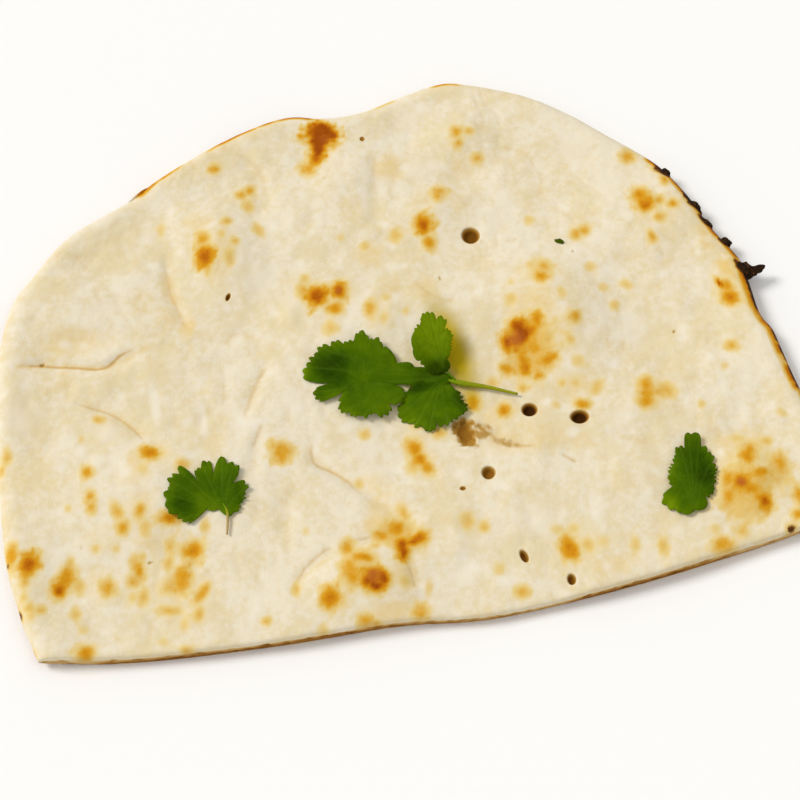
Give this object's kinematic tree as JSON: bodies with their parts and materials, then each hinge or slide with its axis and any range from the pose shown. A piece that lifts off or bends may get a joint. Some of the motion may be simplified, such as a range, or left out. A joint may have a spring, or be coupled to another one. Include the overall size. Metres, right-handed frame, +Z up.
{
  "type": "naan bread half with coriander",
  "caption": "Half of a thin tandoor naan, cut straight across, with toasted blisters, a charred rim and fresh coriander leaves lying on top.",
  "frame": {"origin": "middle of the bread on the plane that its underside rests on", "axes": "+X along the cut edge, +Y from the cut edge towards the middle of the rounded rim, +Z up"},
  "size_m": [0.2095, 0.1608, 0.0141],
  "materials": {
    "bread": "matt, floury cream crust with golden to dark brown toasted spots and a charred rim",
    "herb": "fresh green leaf with a soft sheen, thin enough for light to pass through"
  },
  "bodies": {
    "root": {"naan_half": "bread", "coriander_sprig": "herb", "coriander_leaf_left": "herb", "coriander_leaf_right": "herb"}
  },
  "joints": []
}
